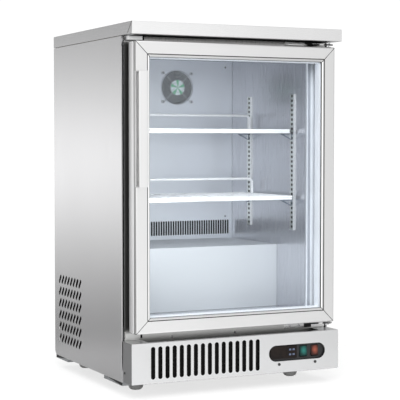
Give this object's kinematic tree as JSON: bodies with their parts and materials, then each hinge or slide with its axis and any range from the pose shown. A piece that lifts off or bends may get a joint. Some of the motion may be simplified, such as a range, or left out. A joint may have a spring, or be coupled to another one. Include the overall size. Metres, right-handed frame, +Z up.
{
  "type": "under counter fridge",
  "caption": "Free-standing stainless under-counter refrigerator with a right-hinged glass door, wire shelves, louvred base panel and levelling feet.",
  "frame": {"origin": "on the floor, at the centre of the footprint from the handle's face to the back panel", "axes": "+X to the right seen from the door, +Y from the door to the back, +Z up"},
  "size_m": [0.6, 0.587, 0.936],
  "materials": {
    "casing_steel": "satin brushed",
    "panel_steel": "satin brushed",
    "board": "raw",
    "liner_steel": "bright annealed",
    "foam": "foamed in place",
    "bright_wire": "bright plated wire",
    "fan_black": "moulded",
    "motor_grey": "semi-gloss",
    "fin_aluminium": "mill",
    "strip_steel": "bright",
    "clip_steel": "bright",
    "housing_black": "moulded",
    "thermostat_brown": "smoked window",
    "frame_steel": "galvanised",
    "hinge_steel": "satin",
    "pin_steel": "bright",
    "compressor_black": "gloss enamel",
    "rubber_black": "soft",
    "copper": "drawn tube",
    "door_aluminium": "satin anodised",
    "glass": "clear",
    "spacer_aluminium": "mill finish",
    "bush_nylon": "moulded",
    "green_lens": "translucent",
    "red_lens": "translucent",
    "button_grey": "moulded",
    "shelf_white": "plastic coated",
    "foot_chrome": "turned steel"
  },
  "bodies": {
    "cabinet": {"worktop": "casing_steel", "worktop_board": "board", "left_side_panel": "casing_steel", "right_side_panel": "casing_steel", "back_panel": "casing_steel", "rear_service_grille": "casing_steel", "front_frame": "casing_steel", "inner_liner": "liner_steel", "foam_insulation": "foam", "compressor_step": "liner_steel", "duct_panel": "liner_steel", "fan_guard": "bright_wire", "evaporator_fan_motor": "motor_grey", "evaporator_coil": "fin_aluminium", "pilaster_front_left": "strip_steel", "pilaster_front_right": "strip_steel", "pilaster_rear_left": "strip_steel", "pilaster_rear_right": "strip_steel", "shelf_clips": "clip_steel", "base_panel": "panel_steel", "control_housing": "housing_black", "thermostat_body": "thermostat_brown", "base_frame": "frame_steel", "top_hinge_bracket": "hinge_steel", "bottom_hinge_bracket": "hinge_steel", "hinge_pins": "pin_steel", "corner_plates": "panel_steel", "compressor": "compressor_black", "compressor_grommets": "rubber_black", "condenser_coil": "fin_aluminium", "condenser_fan_motor": "motor_grey", "refrigerant_pipes": "copper", "filter_drier": "copper", "power_inlet": "housing_black", "drip_tray": "frame_steel", "case_screws": "pin_steel"},
    "door": {"door_left_stile": "door_aluminium", "door_right_stile": "door_aluminium", "door_top_rail": "door_aluminium", "door_bottom_rail": "door_aluminium", "outer_glass": "glass", "inner_glass": "glass", "glass_spacer": "spacer_aluminium", "door_gasket": "rubber_black", "door_handle": "door_aluminium", "door_bushes": "bush_nylon"},
    "evaporator_fan": {"evaporator_fan_blade": "fan_black"},
    "condenser_fan": {"condenser_fan_blade": "fan_black"},
    "green_switch": {"green_rocker": "green_lens"},
    "red_switch": {"red_rocker": "red_lens"},
    "key_up": {"button_up": "button_grey"},
    "key_down": {"button_down": "button_grey"},
    "key_set": {"button_set": "button_grey"},
    "key_defrost": {"button_defrost": "button_grey"},
    "upper_shelf_body": {"upper_shelf": "shelf_white"},
    "lower_shelf_body": {"lower_shelf": "shelf_white"},
    "front_left_foot": {"foot_front_left": "foot_chrome"},
    "front_right_foot": {"foot_front_right": "foot_chrome"},
    "rear_left_foot": {"foot_rear_left": "foot_chrome"},
    "rear_right_foot": {"foot_rear_right": "foot_chrome"}
  },
  "joints": [
    {"name": "door_hinge", "type": "hinge", "parent": "cabinet", "child": "door", "pos_m": [0.276, -0.2425, 0.526], "axis": [0, 0, 1], "range_deg": [0, 110]},
    {"name": "evaporator_fan_spin", "type": "hinge", "parent": "cabinet", "child": "evaporator_fan", "pos_m": [0.0578, 0.2485, 0.798], "axis": [0, 1, 0], "continuous": true},
    {"name": "condenser_fan_spin", "type": "hinge", "parent": "cabinet", "child": "condenser_fan", "pos_m": [-0.04, 0.0255, 0.16], "axis": [0, 1, 0], "continuous": true},
    {"name": "green_rocker_tilt", "type": "hinge", "parent": "cabinet", "child": "green_switch", "pos_m": [0.194, -0.256, 0.0895], "axis": [1, 0, 0], "range_deg": [0, 12]},
    {"name": "red_rocker_tilt", "type": "hinge", "parent": "cabinet", "child": "red_switch", "pos_m": [0.228, -0.256, 0.0895], "axis": [1, 0, 0], "range_deg": [0, 12]},
    {"name": "key_up_press", "type": "slide", "parent": "cabinet", "child": "key_up", "axis": [0, 1, 0], "range_m": [0, 0.0008], "stiffness_N_per_m": 400},
    {"name": "key_down_press", "type": "slide", "parent": "cabinet", "child": "key_down", "axis": [0, 1, 0], "range_m": [0, 0.0008], "stiffness_N_per_m": 400},
    {"name": "key_set_press", "type": "slide", "parent": "cabinet", "child": "key_set", "axis": [0, 1, 0], "range_m": [0, 0.0008], "stiffness_N_per_m": 400},
    {"name": "key_defrost_press", "type": "slide", "parent": "cabinet", "child": "key_defrost", "axis": [0, 1, 0], "range_m": [0, 0.0008], "stiffness_N_per_m": 400},
    {"name": "upper_shelf_slide", "type": "slide", "parent": "cabinet", "child": "upper_shelf_body", "axis": [0, -1, 0], "range_m": [0, 0.05]},
    {"name": "lower_shelf_slide", "type": "slide", "parent": "cabinet", "child": "lower_shelf_body", "axis": [0, -1, 0], "range_m": [0, 0.05]},
    {"name": "front_left_foot_turn", "type": "hinge", "parent": "cabinet", "child": "front_left_foot", "pos_m": [-0.229, -0.1285, 0.01], "axis": [0, 0, 1], "continuous": true},
    {"name": "front_right_foot_turn", "type": "hinge", "parent": "cabinet", "child": "front_right_foot", "pos_m": [0.229, -0.1285, 0.01], "axis": [0, 0, 1], "continuous": true},
    {"name": "rear_left_foot_turn", "type": "hinge", "parent": "cabinet", "child": "rear_left_foot", "pos_m": [-0.229, 0.2335, 0.01], "axis": [0, 0, 1], "continuous": true},
    {"name": "rear_right_foot_turn", "type": "hinge", "parent": "cabinet", "child": "rear_right_foot", "pos_m": [0.229, 0.2335, 0.01], "axis": [0, 0, 1], "continuous": true}
  ]
}
